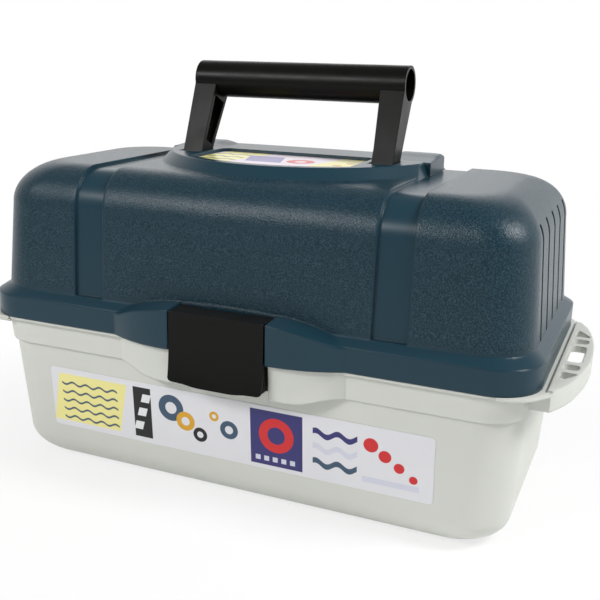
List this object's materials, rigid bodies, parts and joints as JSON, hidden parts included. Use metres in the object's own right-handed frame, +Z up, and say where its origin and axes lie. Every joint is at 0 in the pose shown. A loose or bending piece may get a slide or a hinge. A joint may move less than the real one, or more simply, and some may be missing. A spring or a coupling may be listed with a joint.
{
  "type": "fishing tackle box",
  "caption": "Portable hard tackle box with a deep hinged lid, swinging carry handle, front latch, end lugs and cantilever trays that fan out as the lid opens.",
  "frame": {"origin": "centre of the face the box rests on, level with its underside", "axes": "+X along the box to its right-hand end, +Y from the latch to the hinges, +Z up"},
  "size_m": [0.4868, 0.2397, 0.326],
  "materials": {
    "base_plastic": "smooth satin moulded polypropylene",
    "lid_plastic": "pebble-grained moulded polypropylene, smooth lip and channels",
    "black_plastic": "satin black moulded plastic",
    "tray_plastic": "satin moulded polypropylene",
    "divider_plastic": "satin moulded polypropylene",
    "arm_metal": "zinc-plated strip steel",
    "steel_pin": "plain steel pins and rivets",
    "printed_label": "glossy printed film"
  },
  "bodies": {
    "base": {"base_tub": "base_plastic", "latch_pin": "steel_pin", "hinge_pins": "steel_pin", "arm_bracket_left": "arm_metal", "arm_bracket_right": "arm_metal", "arm_pivot_pins": "steel_pin", "bracket_push_nuts": "steel_pin", "front_label": "printed_label"},
    "lid": {"lid_shell": "lid_plastic", "handle_pivot_pins": "steel_pin", "top_label": "printed_label"},
    "latch": {"latch": "black_plastic"},
    "handle": {"handle_grip": "black_plastic", "handle_arm_left": "black_plastic", "handle_arm_right": "black_plastic"},
    "arm_front_left": {"tray_arm_front_left": "arm_metal"},
    "arm_front_right": {"tray_arm_front_right": "arm_metal"},
    "arm_rear_left": {"tray_arm_rear_left": "arm_metal"},
    "arm_rear_right": {"tray_arm_rear_right": "arm_metal"},
    "tray_lower_body": {"tray_lower": "tray_plastic", "tray_lower_dividers": "divider_plastic", "tray_lower_rivets": "steel_pin"},
    "tray_middle_body": {"tray_middle": "tray_plastic", "tray_middle_dividers": "divider_plastic", "tray_middle_rivets": "steel_pin"},
    "tray_upper_body": {"tray_upper": "tray_plastic", "tray_upper_dividers": "divider_plastic", "tray_upper_rivets": "steel_pin"},
    "link_left": {"lid_link_left": "arm_metal", "lid_link_pins_left": "steel_pin"},
    "link_right": {"lid_link_right": "arm_metal", "lid_link_pins_right": "steel_pin"}
  },
  "joints": [
    {"name": "lid_hinge", "type": "hinge", "parent": "base", "child": "lid", "pos_m": [0, 0.1115, 0.1155], "axis": [-1, 0, 0], "range_deg": [0, 98]},
    {"name": "arm_front_left_pivot", "type": "hinge", "parent": "base", "child": "arm_front_left", "pos_m": [-0.1885, 0.026, 0.122], "axis": [-1, 0, 0], "range_deg": [0, 98]},
    {"name": "arm_front_right_pivot", "type": "hinge", "parent": "base", "child": "arm_front_right", "pos_m": [0.1885, 0.026, 0.122], "axis": [-1, 0, 0], "range_deg": [0, 98]},
    {"name": "arm_rear_left_pivot", "type": "hinge", "parent": "base", "child": "arm_rear_left", "pos_m": [-0.1885, 0.078, 0.122], "axis": [-1, 0, 0], "range_deg": [0, 98]},
    {"name": "arm_rear_right_pivot", "type": "hinge", "parent": "base", "child": "arm_rear_right", "pos_m": [0.1885, 0.078, 0.122], "axis": [-1, 0, 0], "range_deg": [0, 98]},
    {"name": "tray_lower_pivot", "type": "hinge", "parent": "arm_rear_left", "child": "tray_lower_body", "pos_m": [-0.1885, 0.04333, 0.14909], "axis": [1, 0, 0], "range_deg": [0, 98]},
    {"name": "tray_middle_pivot", "type": "hinge", "parent": "arm_rear_left", "child": "tray_middle_body", "pos_m": [-0.1885, 0.01338, 0.17248], "axis": [1, 0, 0], "range_deg": [0, 98]},
    {"name": "tray_upper_pivot", "type": "hinge", "parent": "arm_rear_left", "child": "tray_upper_body", "pos_m": [-0.1885, -0.01656, 0.19588], "axis": [1, 0, 0], "range_deg": [0, 98]},
    {"name": "lid_link_left_pivot", "type": "hinge", "parent": "lid", "child": "link_left", "pos_m": [-0.1965, 0.05949, 0.15613], "axis": [1, 0, 0], "range_deg": [0, 98]},
    {"name": "lid_link_right_pivot", "type": "hinge", "parent": "lid", "child": "link_right", "pos_m": [0.1965, 0.05949, 0.15613], "axis": [1, 0, 0], "range_deg": [0, 98]},
    {"name": "latch_pivot", "type": "hinge", "parent": "base", "child": "latch", "pos_m": [0, -0.1105, 0.107], "axis": [1, 0, 0], "range_deg": [0, 110]},
    {"name": "handle_pivot", "type": "hinge", "parent": "lid", "child": "handle", "pos_m": [0, 0, 0.249], "axis": [1, 0, 0], "range_deg": [0, 50]}
  ],
  "couplings": [
    {"joint": "arm_front_left_pivot", "follows": "lid_hinge", "ratio": 1},
    {"joint": "arm_front_right_pivot", "follows": "lid_hinge", "ratio": 1},
    {"joint": "arm_rear_left_pivot", "follows": "lid_hinge", "ratio": 1},
    {"joint": "arm_rear_right_pivot", "follows": "lid_hinge", "ratio": 1},
    {"joint": "tray_lower_pivot", "follows": "lid_hinge", "ratio": 1},
    {"joint": "tray_middle_pivot", "follows": "lid_hinge", "ratio": 1},
    {"joint": "tray_upper_pivot", "follows": "lid_hinge", "ratio": 1},
    {"joint": "lid_link_left_pivot", "follows": "lid_hinge", "ratio": 1},
    {"joint": "lid_link_right_pivot", "follows": "lid_hinge", "ratio": 1}
  ]
}
